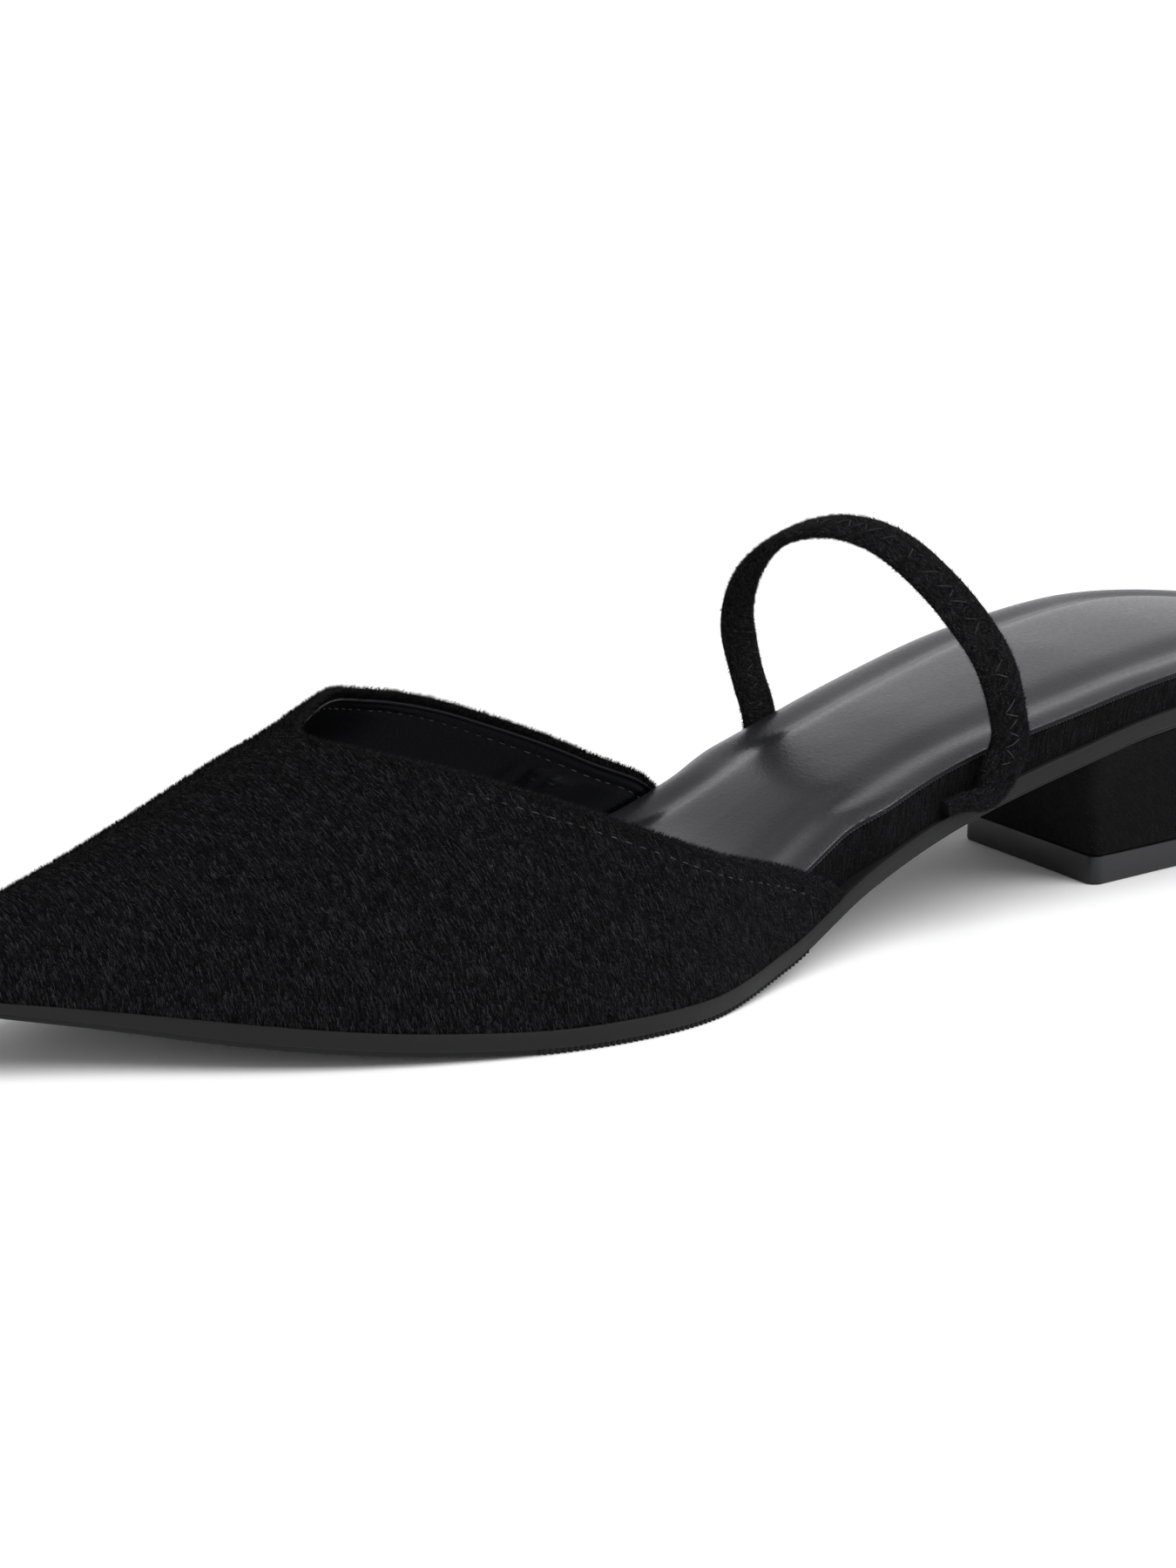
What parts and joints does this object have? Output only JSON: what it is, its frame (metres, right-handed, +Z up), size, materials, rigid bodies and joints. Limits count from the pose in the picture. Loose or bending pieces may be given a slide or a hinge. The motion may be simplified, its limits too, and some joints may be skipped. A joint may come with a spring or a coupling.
{
  "type": "low heel mule sandal",
  "caption": "Left pointed-toe mule with a hollow vamp, low covered block heel, padded insole and one elastic strap over the instep.",
  "frame": {"origin": "on the floor under the middle of the sole's length and width", "axes": "+Y to the heel, -Y to the toe, +X to the lateral side of the left foot, +Z up"},
  "size_m": [0.0785, 0.263, 0.0638],
  "materials": {
    "suede": "black faux suede with a short nap",
    "strap_suede": "black elastic faced with faux suede, with a zigzag stitch",
    "insole_sock": "dark grey satin synthetic leather",
    "outsole_rubber": "dark grey satin moulded rubber",
    "lift_rubber": "dark grey satin rubber"
  },
  "bodies": {
    "root": {"outsole": "outsole_rubber", "heel_block": "suede", "heel_top_lift": "lift_rubber", "footbed_rim": "suede", "insole": "insole_sock", "upper": "suede", "strap": "strap_suede"}
  },
  "joints": []
}
